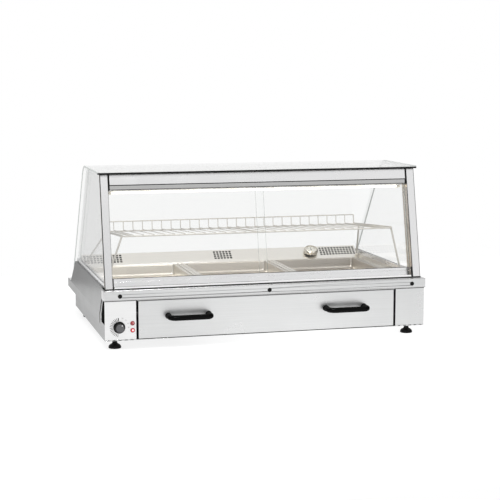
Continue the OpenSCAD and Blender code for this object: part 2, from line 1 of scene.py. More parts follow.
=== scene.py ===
"""Looks of the hot food display case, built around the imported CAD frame.

+Z is up, +X runs along the counter and +Y from the operator to the customer. The camera, the
heat lamp and the pieces added here are placed in millimetres, counted from the base's front
face, until case() turns them into metres. Materials, the floor, the key light and the edge
light are in metres.
"""
import json
import math

import bpy
from mathutils import Matrix, Vector


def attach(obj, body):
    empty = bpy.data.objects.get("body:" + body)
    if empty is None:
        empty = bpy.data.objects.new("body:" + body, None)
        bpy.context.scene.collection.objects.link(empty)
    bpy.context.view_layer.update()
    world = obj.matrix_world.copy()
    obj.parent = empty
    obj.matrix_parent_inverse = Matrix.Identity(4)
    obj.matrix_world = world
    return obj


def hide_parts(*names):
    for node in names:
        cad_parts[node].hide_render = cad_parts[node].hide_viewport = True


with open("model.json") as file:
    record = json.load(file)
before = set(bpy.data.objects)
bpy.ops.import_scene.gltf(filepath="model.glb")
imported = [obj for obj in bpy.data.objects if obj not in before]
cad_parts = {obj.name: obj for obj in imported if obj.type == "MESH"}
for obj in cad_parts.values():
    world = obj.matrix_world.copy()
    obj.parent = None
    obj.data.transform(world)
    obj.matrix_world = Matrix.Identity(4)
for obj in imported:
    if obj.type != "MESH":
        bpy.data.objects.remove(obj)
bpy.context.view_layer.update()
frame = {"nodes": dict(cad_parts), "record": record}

NODES = frame["nodes"]
SLOT_OF = {part["node"]: part["material_slot"] for part in frame["record"]["subparts"]}
BASE_FRONT = -381.0  # the front face of the base along Y


def case(x, y, z):
    """A point counted in mm from the base's front face, in the row frame."""
    return Vector((x, y + BASE_FRONT, z)) * 0.001


# ---------------------------------------------------------------- camera

CAMERA_PLACE = case(-1212.2, -4262.5, 916.6)
CAMERA_YAW = math.radians(15.05)
CAMERA_DROP = math.radians(7.76)
CAMERA_LENS = 97.6


def aim(thing, direction):
    thing.rotation_mode = "QUATERNION"
    thing.rotation_quaternion = direction.to_track_quat("-Z", "Y")


def make_camera():
    """The viewing angle: in front, to the operator's left, a little above."""
    data = bpy.data.cameras.new("camera")
    data.lens = CAMERA_LENS
    data.sensor_width = 36
    camera = bpy.data.objects.new("camera", data)
    bpy.context.scene.collection.objects.link(camera)
    camera.location = CAMERA_PLACE
    level = math.cos(CAMERA_DROP)
    aim(camera, Vector((
        math.sin(CAMERA_YAW) * level, math.cos(CAMERA_YAW) * level, -math.sin(CAMERA_DROP))))
    bpy.context.scene.camera = camera


make_camera()


# ---------------------------------------------------------------- node helpers

def new_material(name):
    material = bpy.data.materials.new(name)
    material.use_nodes = True
    tree = material.node_tree
    return material, tree, tree.nodes["Principled BSDF"]


def link(tree, out_socket, in_socket):
    tree.links.new(out_socket, in_socket)


def noise(tree, scale, detail=3.0, roughness=0.5):
    """A noise whose cycles a metre along X, Y and Z are given by scale."""
    coords = tree.nodes.new("ShaderNodeTexCoord")
    mapping = tree.nodes.new("ShaderNodeMapping")
    mapping.inputs["Scale"].default_value = scale
    link(tree, coords.outputs["Object"], mapping.inputs["Vector"])
    node = tree.nodes.new("ShaderNodeTexNoise")
    node.inputs["Scale"].default_value = 1.0
    node.inputs["Detail"].default_value = detail
    node.inputs["Roughness"].default_value = roughness
    link(tree, mapping.outputs["Vector"], node.inputs["Vector"])
    return node.outputs["Fac"]


def remap(tree, value, low, high, start=0.3, end=0.7):
    node = tree.nodes.new("ShaderNodeMapRange")
    node.inputs["From Min"].default_value = start
    node.inputs["From Max"].default_value = end
    node.inputs["To Min"].default_value = low
    node.inputs["To Max"].default_value = high
    link(tree, value, node.inputs["Value"])
    return node.outputs["Result"]


def arithmetic(tree, operation, a, b):
    node = tree.nodes.new("ShaderNodeMath")
    node.operation = operation
    for socket, value in zip(node.inputs, (a, b)):
        if isinstance(value, (int, float)):
            socket.default_value = value
        else:
            link(tree, value, socket)
    return node.outputs["Value"]


def blend(tree, value, start, end):
    """A number that runs from start to end as value goes from 0 to 1."""
    node = tree.nodes.new("ShaderNodeMix")
    link(tree, value, node.inputs["Factor"])
    for socket, number in ((node.inputs["A"], start), (node.inputs["B"], end)):
        if isinstance(number, (int, float)):
            socket.default_value = number
        else:
            link(tree, number, socket)
    return node.outputs["Result"]


def colour_between(tree, value, dark, light):
    node = tree.nodes.new("ShaderNodeMix")
    node.data_type = "RGBA"
    node.inputs["A"].default_value = (*dark, 1)
    node.inputs["B"].default_value = (*light, 1)
    link(tree, value, node.inputs["Factor"])
    return node.outputs["Result"]


def add_bumps(tree, shader, *bumps):
    """Each bump is a height, its strength and its size in metres."""
    normal = None
    for height, strength, distance in bumps:
        node = tree.nodes.new("ShaderNodeBump")
        node.inputs["Strength"].default_value = strength
        node.inputs["Distance"].default_value = distance
        link(tree, height, node.inputs["Height"])
        if normal is not None:
            link(tree, normal, node.inputs["Normal"])
        normal = node.outputs["Normal"]
    link(tree, normal, shader.inputs["Normal"])


# ---------------------------------------------------------------- materials

# Cycles a metre along X, Y and Z of a grain that runs along one of them
GRAIN_ALONG = {"x": (4, 1100, 1100), "y": (1100, 4, 1100), "z": (1100, 1100, 4)}
# Where the painted shade on the skirts starts and ends along Y
REAR_SHADE_FROM = -0.34
REAR_SHADE_TO = 0.31
# How much of the light glass mirrors head on, and how much more at the lowest angles
MIRROR_HEAD_ON = 0.02
MIRROR_GRAZING = 0.75


def with_rear_shade(tree, tone, rear_shade):
    """Painted shade: a colour that runs from full strength at the operator's end down to the rear shade
    factor at the customer's.
    """
    coords = tree.nodes.new("ShaderNodeTexCoord")
    parts = tree.nodes.new("ShaderNodeSeparateXYZ")
    link(tree, coords.outputs["Object"], parts.inputs["Vector"])
    node = tree.nodes.new("ShaderNodeVectorMath")
    node.operation = "SCALE"
    link(tree, tone, node.inputs[0])
    link(tree, remap(tree, parts.outputs["Y"], 1.0, rear_shade, REAR_SHADE_FROM, REAR_SHADE_TO), node.inputs["Scale"])
    return node.outputs["Vector"]


def brushed(name, colour, rough, along="x", spread=0.05, wave=0.0012, edge=1.0, rear_shade=1.0):
    """Brushed metal: fine grain along one axis, wiping marks and a slightly wavy sheet.

    edge below 1 dulls the sheet's reflection where it is seen at a low angle, and a rear shade factor
    below 1 darkens it towards the customer's side; both are painted shade."""
    material, tree, shader = new_material(name)
    grain = noise(tree, GRAIN_ALONG[along], 2.0, 0.6)
    wipes = noise(tree, (6, 6, 9), 4.0, 0.55)
    swell = noise(tree, (2.2, 2.2, 3.5), 1.0, 0.4)
    light = tuple(min(1.0, c * (1 + spread)) for c in colour)
    dark = tuple(c * (1 - spread) for c in colour)
    tone = colour_between(tree, remap(tree, grain, 0, 1), dark, light)
    if rear_shade < 1:
        tone = with_rear_shade(tree, tone, rear_shade)
    link(tree, tone, shader.inputs["Base Color"])
    link(tree, remap(tree, wipes, rough * 0.85, rough * 1.2), shader.inputs["Roughness"])
    shader.inputs["Metallic"].default_value = 1.0
    shader.inputs["Specular Tint"].default_value = (edge, edge, edge, 1)
    add_bumps(tree, shader, (swell, 0.5, wave))
    return material


def alloy_with_painted_sides(name, face, web_reflection):
    """Brushed up the upright, with a darker, warmer, streaked tone on the sides that face along X: a
    painted reflection.
    """
    material, tree, shader = new_material(name)
    grain = noise(tree, GRAIN_ALONG["z"], 2.0, 0.6)
    reflection_streaks = noise(tree, (20, 130, 4), 2.0, 0.5)
    coords = tree.nodes.new("ShaderNodeTexCoord")
    parts = tree.nodes.new("ShaderNodeSeparateXYZ")
    link(tree, coords.outputs["Normal"], parts.inputs["Vector"])
    side = remap(tree, arithmetic(tree, "ABSOLUTE", parts.outputs["X"], 0), 0, 1, 0.55, 0.8)
    light = tuple(min(1.0, c * 1.35) for c in web_reflection)
    stripes = colour_between(tree, remap(tree, reflection_streaks, 0, 1, 0.35, 0.65), web_reflection, light)
    front = colour_between(tree, remap(tree, grain, 0, 1), tuple(c * 0.97 for c in face), face)
    both = tree.nodes.new("ShaderNodeMix")
    both.data_type = "RGBA"
    link(tree, side, both.inputs["Factor"])
    link(tree, front, both.inputs["A"])
    link(tree, stripes, both.inputs["B"])
    link(tree, both.outputs["Result"], shader.inputs["Base Color"])
    shader.inputs["Metallic"].default_value = 1.0
    shader.inputs["Roughness"].default_value = 0.26
    return material


def plastic(name, colour, rough, coat=0.0, spread=0.15, specular=0.5):
    """Moulded plastic, rubber or enamel: a faint mottle under a fine orange-peel grain."""
    material, tree, shader = new_material(name)
    mottle = noise(tree, (60, 60, 60), 4.0, 0.6)
    grain = noise(tree, (1500, 1500, 1500), 2.0, 0.5)
    light = tuple(min(1.0, c * (1 + spread)) for c in colour)
    link(tree, colour_between(tree, mottle, colour, light), shader.inputs["Base Color"])
    link(tree, remap(tree, mottle, rough * 0.85, rough * 1.2), shader.inputs["Roughness"])
    shader.inputs["Specular IOR Level"].default_value = specular
    shader.inputs["Coat Weight"].default_value = coat
    shader.inputs["Coat Roughness"].default_value = 0.08
    add_bumps(tree, shader, (grain, 0.02, 0.0001))
    return material


def sheet_glass(name, edge_tint=None, tint=0.998):
    """Clear sheet glass. Light passes straight through and the faces mirror at low angles.

    Cut edges, which face along X, show edge_tint."""
    material, tree, shader = new_material(name)
    shader.inputs["Base Color"].default_value = (1, 1, 1, 1)
    shader.inputs["Metallic"].default_value = 1.0
    smears = noise(tree, (9, 9, 12), 4.0, 0.6)
    link(tree, remap(tree, smears, 0.015, 0.05), shader.inputs["Roughness"])
    clear = tree.nodes.new("ShaderNodeBsdfTransparent")
    clear.inputs["Color"].default_value = (tint - 0.002, tint, tint - 0.001, 1)
    facing = tree.nodes.new("ShaderNodeLayerWeight")
    facing.inputs["Blend"].default_value = 0.5
    grazing = arithmetic(tree, "POWER", facing.outputs["Facing"], 5.0)
    mirror = arithmetic(tree, "MULTIPLY_ADD", grazing, MIRROR_GRAZING)
    mirror.node.inputs[2].default_value = MIRROR_HEAD_ON
    faces = tree.nodes.new("ShaderNodeMixShader")
    link(tree, mirror, faces.inputs["Fac"])
    link(tree, clear.outputs["BSDF"], faces.inputs[1])
    link(tree, shader.outputs["BSDF"], faces.inputs[2])
    result = faces.outputs["Shader"]
    if edge_tint is not None:
        edge = tree.nodes.new("ShaderNodeBsdfPrincipled")
        edge.inputs["Base Color"].default_value = (*edge_tint, 1)
        edge.inputs["Roughness"].default_value = 0.25
        coords = tree.nodes.new("ShaderNodeTexCoord")
        parts = tree.nodes.new("ShaderNodeSeparateXYZ")
        link(tree, coords.outputs["Normal"], parts.inputs["Vector"])
        size = arithmetic(tree, "ABSOLUTE", parts.outputs["X"], 0)
        both = tree.nodes.new("ShaderNodeMixShader")
        link(tree, remap(tree, size, 0.0, 0.8, 0.55, 0.65), both.inputs["Fac"])
        link(tree, result, both.inputs[1])
        link(tree, edge.outputs["BSDF"], both.inputs[2])
        result = both.outputs["Shader"]
    link(tree, result, tree.nodes["Material Output"].inputs["Surface"])
    return material


def glow(name, colour, strength, rough=0.3):
    """A surface that gives off light by itself, in slightly uneven colour."""
    material, tree, shader = new_material(name)
    patches = noise(tree, (30, 30, 30), 2.0, 0.5)
    warm = tuple(c * 0.93 for c in colour)
    link(tree, colour_between(tree, patches, warm, colour), shader.inputs["Base Color"])
    shader.inputs["Emission Color"].default_value = (*colour, 1)
    shader.inputs["Emission Strength"].default_value = strength
    shader.inputs["Roughness"].default_value = rough
    return material


PAN_FINISH = {"rough": 0.32, "along": "y", "wave": 0.001}
ALLOY_FINISH = {"rough": 0.26, "spread": 0.03, "wave": 0.0008}
MATERIALS = {
    "steel": brushed("steel", (0.62, 0.625, 0.625), 0.30),
    # A darker copy of the steel for the side skirts and the base box: its darker colour, its dulled
    # reflection at low angles and its darkening towards the customer's side are painted shade.
    "side_steel_painted_shade": brushed("side_steel_painted_shade", (0.60, 0.605, 0.605), 0.20, "y", edge=0.58, rear_shade=0.68),
    "panel_steel": brushed("panel_steel", (0.78, 0.78, 0.78), 0.38),
    "deck_steel": brushed("deck_steel", (0.80, 0.775, 0.73), 0.36),
    "pan_steel": brushed("pan_steel", (0.66, 0.625, 0.575), **PAN_FINISH),
    # Lighter and darker copies of the pan steel: painted light for the left pan and painted shade for
    # the right; all three pans are the same steel.
    "pan_steel_painted_light": brushed("pan_steel_painted_light", (0.78, 0.745, 0.685), **PAN_FINISH),
    "pan_steel_painted_shade": brushed("pan_steel_painted_shade", (0.55, 0.515, 0.47), **PAN_FINISH),
    "plated_steel": brushed("plated_steel", (0.66, 0.67, 0.68), 0.35, "y"),
    "heater_sheath": brushed("heater_sheath", (0.22, 0.19, 0.18), 0.5, "y"),
    "alloy": brushed("alloy", (0.80, 0.80, 0.805), **ALLOY_FINISH),
    # The upright's sides that face along X carry a painted reflection.
    "upright_alloy_painted_sides": alloy_with_painted_sides("upright_alloy_painted_sides", (0.80, 0.80, 0.805), (0.58, 0.535, 0.49)),
    # A darker copy of the alloy: painted shade.
    "alloy_painted_shade": brushed("alloy_painted_shade", (0.50, 0.50, 0.50), **ALLOY_FINISH),
    # A lighter copy of the alloy: painted highlight.
    "alloy_painted_highlight": brushed("alloy_painted_highlight", (0.97, 0.97, 0.97), 0.30, spread=0.02, wave=0.0008),
    # The tint of 0.955 is a painted shade that greys the panes on this slot, the left side glass among
    # them; the right side glass keeps a clearer tint of 0.99.
    "glass": sheet_glass("glass", tint=0.955),
    "right_glass": sheet_glass("right_glass", tint=0.99),
    "door_glass": sheet_glass("door_glass", (0.46, 0.50, 0.48)),
    "bent_glass": sheet_glass("bent_glass", (0.52, 0.55, 0.535), 0.975),
    "lens_glass": sheet_glass("lens_glass"),
    "coated_wire": plastic("coated_wire", (0.48, 0.465, 0.435), 0.32, coat=0.1, spread=0.05),
    "black_plastic": plastic("black_plastic", (0.004, 0.004, 0.004), 0.34, specular=0.14),
    "handle_plastic": plastic("handle_plastic", (0.001, 0.001, 0.001), 0.30, coat=0.14, specular=0.0),
    "seal_rubber": plastic("seal_rubber", (0.004, 0.004, 0.004), 0.6, specular=0.15),
    "red_lens": plastic("red_lens", (0.20, 0.006, 0.012), 0.12, coat=0.9),
    "red_lens_lit": glow("red_lens_lit", (0.50, 0.02, 0.03), 0.12, rough=0.12),
    # Glow for the lit lower lamp's bright middle and for a painted highlight on the unlit upper lens.
    "lamp_glow_and_highlight": glow("lamp_glow_and_highlight", (1.0, 0.55, 0.55), 0.65, rough=0.12),
    "lamp_plastic": plastic("lamp_plastic", (0.85, 0.82, 0.74), 0.4, spread=0.05),
    "lamp_glass": glow("lamp_glass", (1.0, 0.93, 0.78), 2.5),
    "chrome_case": brushed("chrome_case", (0.80, 0.76, 0.68), 0.12, "y"),
    "dial_white": plastic("dial_white", (0.78, 0.755, 0.69), 0.5, spread=0.04),
    "needle_black": plastic("needle_black", (0.02, 0.02, 0.02), 0.5),
    "knob_grey": plastic("knob_grey", (0.055, 0.055, 0.058), 0.28, coat=0.4),
    "mark_grey": plastic("mark_grey", (0.01, 0.01, 0.01), 0.6, specular=0.2),
    "number_grey": plastic("number_grey", (0.30, 0.30, 0.30), 0.6),
    # Grey for the strip in the gap over the drawer: painted shade.
    "gap_shade_grey": plastic("gap_shade_grey", (0.34, 0.34, 0.34), 0.6),
    "pointer_white": plastic("pointer_white", (0.85, 0.85, 0.85), 0.4),
    "edge_tint": plastic("edge_tint", (0.50, 0.53, 0.515), 0.3),
    # Black for the trays behind the vent holes: painted shade.
    "vent_shade_black": plastic("vent_shade_black", (0.012, 0.011, 0.010), 0.7),
}

# Nodes that need more than their slot's own material, mostly for the photo's light
SPECIAL = {
    "upright_left": "upright_alloy_painted_sides",
    "upright_right": "upright_alloy_painted_sides",
    "door_left_glass": "door_glass",
    "door_right_glass": "door_glass",
    "curved_glass": "bent_glass",
    "side_glass_right": "right_glass",
    "side_skirt_left": "side_steel_painted_shade",
    "side_skirt_right": "side_steel_painted_shade",
    "base_box": "side_steel_painted_shade",
}

# How far the folded and cut edges of each CAD node are eased, in mm
EASED = {
    "base_box": 0.5, "base_rear_panel": 0.4, "control_panel": 0.7, "right_fascia": 0.7,
    "front_rail": 1.0, "deck": 0.5, "well_dividers": 0.7, "side_skirt_left": 0.5,
    "side_skirt_right": 0.5, "rear_ledge": 0.5, "vent_panel": 0.4, "upright_left": 1.0,
    "upright_right": 1.0, "header_track": 0.8, "sill_track": 0.35, "door_left_rail": 0.5,
    "door_right_rail": 0.5, "glass_channels": 0.5, "top_edge_trim": 0.8, "drawer_front": 1.2,
    "drawer_tray": 0.5, "lamp_housing": 0.5, "lamp_holders": 1.0, "drawer_cheeks": 0.4,
    "thermostat": 0.8, "runner_inner": 0.4, "runner_outer": 0.4, "heater_tray": 0.4,
}


def ease_edges(thing, width):
    """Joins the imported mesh's split corners and rounds its sharp edges."""
    weld = thing.modifiers.new("weld", "WELD")
    weld.merge_threshold = 1e-5
    bevel = thing.modifiers.new("bevel", "BEVEL")
    bevel.width = width * 0.001
    bevel.segments = 2
    bevel.limit_method = "ANGLE"
    bevel.angle_limit = math.radians(35)
    bevel.harden_normals = True


def dress_cad_nodes():
    for name, node in NODES.items():
        node.data.materials.clear()
        node.data.materials.append(MATERIALS[SPECIAL.get(name, SLOT_OF[name])])
        if name in EASED:
            ease_edges(node, EASED[name])


dress_cad_nodes()


# ---------------------------------------------------------------- mesh helpers

def add_piece(name, shape, material, body, replaced=(), place=None, smooth=40):
    """Adds a mesh piece given in mm, turned by place, and hides what it replaces."""
    points, faces = shape
    turn = place or Matrix.Identity(4)
    mesh = bpy.data.meshes.new(name)
    mesh.from_pydata([case(*(turn @ Vector(p))) for p in points], [], faces)
    mesh.materials.append(MATERIALS[material])
    mesh.update()
    thing = bpy.data.objects.new(name, mesh)
    bpy.context.scene.collection.objects.link(thing)
    mesh.polygons.foreach_set("use_smooth", [True] * len(mesh.polygons))
    mesh.set_sharp_from_angle(angle=math.radians(smooth))
    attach(thing, body)
    if replaced:
        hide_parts(*replaced)
    return thing


def joined(*shapes):
    points, faces = [], []
    for more_points, more_faces in shapes:
        start = len(points)
        points += [tuple(p) for p in more_points]
        faces += [tuple(i + start for i in face) for face in more_faces]
    return points, faces


def moved(shape, turn):
    return [turn @ Vector(p) for p in shape[0]], shape[1]


def loft(rings, close_start=True, close_end=True):
    """Joins closed rings of equal length into a skin."""
    count = len(rings[0])
    points = [p for ring in rings for p in ring]
    faces = []
    for k in range(len(rings) - 1):
        for i in range(count):
            j = (i + 1) % count
            faces.append((k * count + i, k * count + j, (k + 1) * count + j, (k + 1) * count + i))
    if close_start:
        faces.append(tuple(reversed(range(count))))
    if close_end:
        faces.append(tuple(range((len(rings) - 1) * count, len(rings) * count)))
    return points, faces


def lathe(profile, steps=48, flutes=0, depth=0.0, flute_from=0.0):
    """A profile of radius and height turned about Z, with optional flutes above a height."""
    rings = []
    for radius, height in profile:
        ring = []
        for i in range(steps):
            a = 2 * math.pi * i / steps
            cut = depth * (0.5 - 0.5 * math.cos(flutes * a)) if flutes and height >= flute_from else 0
            r = max(radius - cut, 0.01)
            ring.append((r * math.cos(a), r * math.sin(a), height))
        rings.append(ring)
    return loft(rings)


def tube(path, radius, sides=12, round_end=True):
    """A round wire along a path of points, with domed ends."""
    points = [Vector(p) for p in path]
    radii = [radius] * len(points)
    if round_end:
        out = (points[0] - points[1]).normalized()
        back = (points[-1] - points[-2]).normalized()
        points = [points[0] + out * radius * 0.45] + points + [points[-1] + back * radius * 0.45]
        radii = [radius * 0.55] + radii + [radius * 0.55]
    rings = []
    side = None
    for k, point in enumerate(points):
        ahead = (points[min(k + 1, len(points) - 1)] - points[max(k - 1, 0)]).normalized()
        if side is None:
            side = ahead.orthogonal().normalized()
        side = (side - ahead * side.dot(ahead)).normalized()
        other = ahead.cross(side)
        rings.append([
            point + (side * math.cos(a) + other * math.sin(a)) * radii[k]
            for a in (2 * math.pi * i / sides for i in range(sides))])
    return loft(rings)


def rounded_path(corners, radius, steps=6):
    """A path through corners, with each inner corner rounded."""
    points = [Vector(c) for c in corners]
    path = [points[0]]
    for before, here, after in zip(points, points[1:], points[2:]):
        a, b = (before - here).normalized(), (after - here).normalized()
        half = a.angle(b) / 2
        spare = 0.49 * min((before - here).length, (after - here).length)
        reach = min(radius / math.tan(half), spare)
        r = reach * math.tan(half)
        centre = here + (a + b).normalized() * (r / math.sin(half))
        outward = (here + a * reach - centre).normalized()
        end = here + b * reach - centre
        across = (end - outward * end.dot(outward)).normalized()
        sweep = outward.angle(end)
        for i in range(steps + 1):
            t = sweep * i / steps
            path.append(centre + (outward * math.cos(t) + across * math.sin(t)) * r)
    path.append(points[-1])
    return path


def bar(low, high):
    """A flat printed or raised bar between two corners."""
    (x0, y0, z0), (x1, y1, z1) = low, high
    ring = [(x0, y0), (x1, y0), (x1, y1), (x0, y1)]
    return loft([[(x, y, z0) for x, y in ring], [(x, y, z1) for x, y in ring]])


def rounded_box_ring(width, depth, radius, z, steps=8):
    """A closed ring round a rectangle with round corners."""
    ring = []
    for k, (sx, sy) in enumerate(((1, 1), (-1, 1), (-1, -1), (1, -1))):
        cx, cy = sx * (width / 2 - radius), sy * (depth / 2 - radius)
        for i in range(steps + 1):
            a = math.pi / 2 * (k + i / steps)
            ring.append((cx + radius * math.cos(a), cy + radius * math.sin(a), z))
    return ring


def numeral(text, size):
    """A generic number as a flat mesh, centred on the origin."""
    curve = bpy.data.curves.new("numeral", "FONT")
    curve.body = text
    curve.size = size
    curve.align_x = curve.align_y = "CENTER"
    thing = bpy.data.objects.new("numeral", curve)
    bpy.context.scene.collection.objects.link(thing)
    mesh = thing.evaluated_get(bpy.context.evaluated_depsgraph_get()).to_mesh()
    shape = [tuple(v.co) for v in mesh.vertices], [tuple(p.vertices) for p in mesh.polygons]
    bpy.data.objects.remove(thing)
    bpy.data.curves.remove(curve)
    return shape


def turned(angle, axis):
    return Matrix.Rotation(math.radians(angle), 4, axis)


def shifted(x, y, z):
    return Matrix.Translation((x, y, z))


TO_OPERATOR = turned(90, "X")  # turns a lathe's height to point out of the front
TO_CUSTOMER = turned(-90, "X")  # and out of the rear


# ---------------------------------------------------------------- drawer handles

HANDLE_X = {"left": -274, "right": 265}
HANDLE_Z = 109
HANDLE_HALF = 67.5  # half the distance between the two feet
HANDLE_R = 9
HANDLE_BEND = 19
HANDLE_BAR_Y = -49


def bow_handle(name, x):
    corners = [
        (-HANDLE_HALF, 0, 0), (-HANDLE_HALF, HANDLE_BAR_Y, 0),
        (HANDLE_HALF, HANDLE_BAR_Y, 0), (HANDLE_HALF, 0, 0)]
    bow = tube(rounded_path(corners, HANDLE_BEND, 10), HANDLE_R, 28, round_end=False)
    collar = [(8.5, -0.01), (10.2, 0), (10.4, 1.4), (10.2, 2.6), (9.2, 3.4), (8.5, 3.5)]
    ends = [shifted(side * HANDLE_HALF, 0, 0) @ TO_OPERATOR for side in (-1, 1)]
    feet = [moved(lathe(collar, 40), end) for end in ends]
    add_piece(name, joined(bow, *feet), "handle_plastic", "drawer", [name], shifted(x, 0, HANDLE_Z))


for handle_side, handle_x in HANDLE_X.items():
    bow_handle(f"drawer_handle_{handle_side}", handle_x)


# ---------------------------------------------------------------- controls

KNOB = (-503, 0, 78)
POINTER_ANGLE = 53
TICKS = 16
TICK_STEP = 11  # degrees
FIRST_TICK = 260  # degrees, near the bottom of the dial
PILOT_X = -459.5
PILOT_UPPER_Z = 90
PILOT_LOWER_Z = 67
RAIL_PLUG_X = (-500, 0, 504)
RAIL_PLUG_Z = 180
RAIL_FRONT = -5


def make_knob():
    place = shifted(*KNOB) @ TO_OPERATOR
    skirt = [(3, -19), (3, 2), (19.0, 2.0), (19.5, 2.6), (19.3, 4.2), (17.8, 5.4), (15.8, 6.0)]
    grip = [(15.9, 6.0), (15.7, 8), (15.4, 12), (15.1, 17), (14.7, 18.8), (13.9, 19.6), (12.6, 19.8)]
    body = joined(lathe(skirt, 96), lathe(grip, 96, 24, 0.7, 7.5))
    add_piece("knob_grip", body, "black_plastic", "knob", ["knob"], place, 50)
    insert = [(13.4, 19.2), (13.4, 19.7), (13.0, 20.1), (11.0, 20.25), (5.0, 20.1), (0.02, 20.0)]
    add_piece("knob_insert", lathe(insert, 64), "knob_grey", "knob", (), place)
    dot = moved(lathe([(1.5, 20.0), (1.5, 20.7), (1.1, 20.95), (0.02, 21)], 24),
        turned(POINTER_ANGLE, "Z") @ shifted(10.9, 0, 0))
    add_piece("knob_pointer", dot, "pointer_white", "knob", (), place)


def make_dial_marks():
    """Printed tick marks from the bottom round the left to the top, then generic numbers."""
    shapes = []
    for i in range(TICKS):
        bold = i == TICKS - 1
        tick = bar((21.5, -1.4 if bold else -0.85, 0.02), (31, 1.4 if bold else 0.85, 0.10))
        shapes.append(moved(tick, turned(FIRST_TICK - i * TICK_STEP, "Z")))
    add_piece("dial_marks", joined(*shapes), "mark_grey", "case", (), shifted(*KNOB) @ TO_OPERATOR)
    shapes = []
    for i, text in enumerate(("30", "50", "70", "90")):
        a = math.radians(70 - i * 24)
        shapes.append(moved(numeral(text, 6.5), shifted(31 * math.cos(a), 31 * math.sin(a), 0.08)))
    add_piece("dial_numbers", joined(*shapes), "number_grey", "case", (), shifted(*KNOB) @ TO_OPERATOR)


def make_pilots():
    """Two lamps, of which the lower one is lit and glows brightest in a spot at its middle; the unlit
    upper lens has a small glowing spot, a painted highlight.
    """
    bezel = [
        (5.9, -23.5), (5.9, 0), (7.1, 0.05), (7.5, 0.6), (7.4, 1.8), (6.9, 2.5), (6.2, 2.5), (6.1, 1.0)]
    lens = [(6.15, 0.9), (6.15, 2.1), (5.7, 2.9), (4.6, 3.7), (2.8, 4.3), (0.02, 4.5)]
    dome = lathe(lens, 40, 10, 0.35, 2.5)
    on_upper = shifted(PILOT_X, 0, PILOT_UPPER_Z) @ TO_OPERATOR
    on_lower = shifted(PILOT_X, 0, PILOT_LOWER_Z) @ TO_OPERATOR
    rings = [moved(lathe(bezel, 40), place) for place in (on_upper, on_lower)]
    add_piece("pilot_bezels", joined(*rings), "red_lens", "case", ["pilot_bodies"])
    upper = add_piece("pilot_upper", dome, "red_lens", "case", (), on_upper)
    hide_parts("pilot_lenses")
    add_piece("pilot_lower", dome, "red_lens_lit", "case", (), on_lower)
    spot = [(2.9, 4.0), (2.9, 4.4), (2.0, 4.75), (0.02, 4.9)]
    add_piece("pilot_lower_spot", lathe(spot, 28), "lamp_glow_and_highlight", "case", (),
        shifted(PILOT_X + 0.6, 0, PILOT_LOWER_Z + 0.6) @ TO_OPERATOR)
    # The unlit upper lens's small glowing spot: a painted highlight.
    spot = [(1.3, 4.0), (1.3, 4.3), (0.02, 4.6)]
    add_piece("pilot_upper_highlight", lathe(spot, 20), "lamp_glow_and_highlight", "case", (),
        shifted(PILOT_X + 1.4, 0, PILOT_UPPER_Z + 1.4) @ TO_OPERATOR)


def make_plugs():
    cap = [
        (4.9, -4), (4.9, 0), (6.9, 0.02), (7.1, 0.5), (6.7, 1.3), (5.2, 1.8), (2.6, 2.0), (0.02, 2.0)]
    places = [shifted(x, RAIL_FRONT, RAIL_PLUG_Z) @ TO_OPERATOR for x in RAIL_PLUG_X]
    shapes = [moved(lathe(cap, 36), place) for place in places]
    add_piece("rail_plugs", joined(*shapes), "black_plastic", "case", ["cap_plugs"])


make_knob()
make_dial_marks()
make_pilots()
make_plugs()


# ---------------------------------------------------------------- seals, painted shadow lines, painted shade bands and painted highlights

LEAN = 12.5  # degrees
ON_FRONT = shifted(0, 22, 197) @ turned(-LEAN, "X")  # up the leaning front, from the rail's top
# The uprights' two edges along X, then heights up the leaning front
FRAME_IN = 518.5
FRAME_OUT = 544.5
HEADER_LOW = 324.7
HEADER_STEP = 342.1
FRAME_TOP = 377.3
# The two ends of each door along X, and the front of its pane along Y
DOOR_SPANS = {"left": (-517.5, 8.0, 10), "right": (-16.0, 517.5, 24)}


def cut_corners(u0, v0, u1, v1):
    """The outline of a small flat profile with cut corners."""
    c = min(u1 - u0, v1 - v0) * 0.25
    return [(u0 + c, v0), (u1 - c, v0), (u1, v0 + c), (u1, v1 - c),
        (u1 - c, v1), (u0 + c, v1), (u0, v1 - c), (u0, v0 + c)]


def strip_x(x0, x1, low, high):
    """A profile along X between two corners given in Y and Z."""
    outline = cut_corners(*low, *high)
    return loft([[(x, y, z) for y, z in outline] for x in (x0, x1)])


def strip_z(z0, z1, low, high):
    """A profile along Z between two corners given in X and Y."""
    outline = cut_corners(*low, *high)
    return loft([[(x, y, z) for x, y in outline] for z in (z0, z1)])


